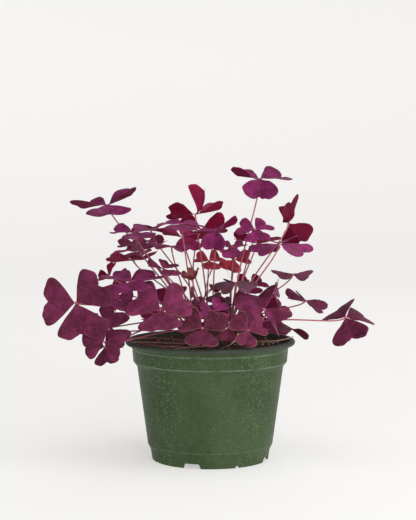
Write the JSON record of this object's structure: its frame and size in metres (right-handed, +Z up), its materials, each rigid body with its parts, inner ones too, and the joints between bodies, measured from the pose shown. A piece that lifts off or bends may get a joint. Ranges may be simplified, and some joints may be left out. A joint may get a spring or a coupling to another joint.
{
  "type": "potted shamrock",
  "caption": "Purple-leaved shamrock houseplant with notched three-part leaves on thin pink stalks, in a round green plastic nursery pot filled with soil.",
  "frame": {"origin": "centre of the object's box at the level of the pot's foot, within 2 mm of the pot's axis", "axes": "+Z up along the pot's axis, +X to the right seen from the front, +Y to the back; the front faces -Y"},
  "size_m": [0.3072, 0.1824, 0.2782],
  "materials": {
    "potPlastic": "worn satin, speckled",
    "soilPeat": "rough, crumbly",
    "stalkPink": "satin",
    "leafPurple": "matt with a faint sheen"
  },
  "bodies": {
    "root": {"pot": "potPlastic", "soil": "soilPeat", "clumpLeft": "stalkPink", "clumpFront": "stalkPink", "clumpMiddle": "stalkPink", "clumpRight": "stalkPink", "clumpRightBack": "stalkPink", "clumpBack": "stalkPink", "rightTop": "leafPurple", "rightFar": "leafPurple", "rightHigh": "leafPurple", "rightWing": "leafPurple", "midHigh": "leafPurple", "midRight": "leafPurple", "crown": "leafPurple", "crownLeft": "leafPurple", "crownLow": "leafPurple", "leftTop": "leafPurple", "leftHigh": "leafPurple", "leftHighBack": "leafPurple", "leftHighLow": "leafPurple", "leftWing": "leafPurple", "leftHook": "leafPurple", "leftMid": "leafPurple", "leftSmall": "leafPurple", "leftInner": "leafPurple", "outerLeft": "leafPurple", "leftRound": "leafPurple", "leftDroop": "leafPurple", "leftLow": "leafPurple", "leftTuck": "leafPurple", "frontLeft": "leafPurple", "frontLeftHigh": "leafPurple", "young": "leafPurple", "sprout": "leafPurple", "redBackLeft": "leafPurple", "redBackRight": "leafPurple", "frontHang": "leafPurple", "frontMid": "leafPurple", "frontRim": "leafPurple", "frontRimRight": "leafPurple", "frontHigh": "leafPurple", "rightGrey": "leafPurple", "rightBig": "leafPurple", "rightEdge": "leafPurple", "bow": "leafPurple", "rightSmall": "leafPurple", "outerRight": "leafPurple", "rimRight": "leafPurple", "backHigh": "leafPurple", "backLeftHigh": "leafPurple", "backLeft": "leafPurple", "backLeftLow": "leafPurple", "backLow": "leafPurple", "backRightLow": "leafPurple", "backRight": "leafPurple", "backRightHigh": "leafPurple"}
  },
  "joints": []
}
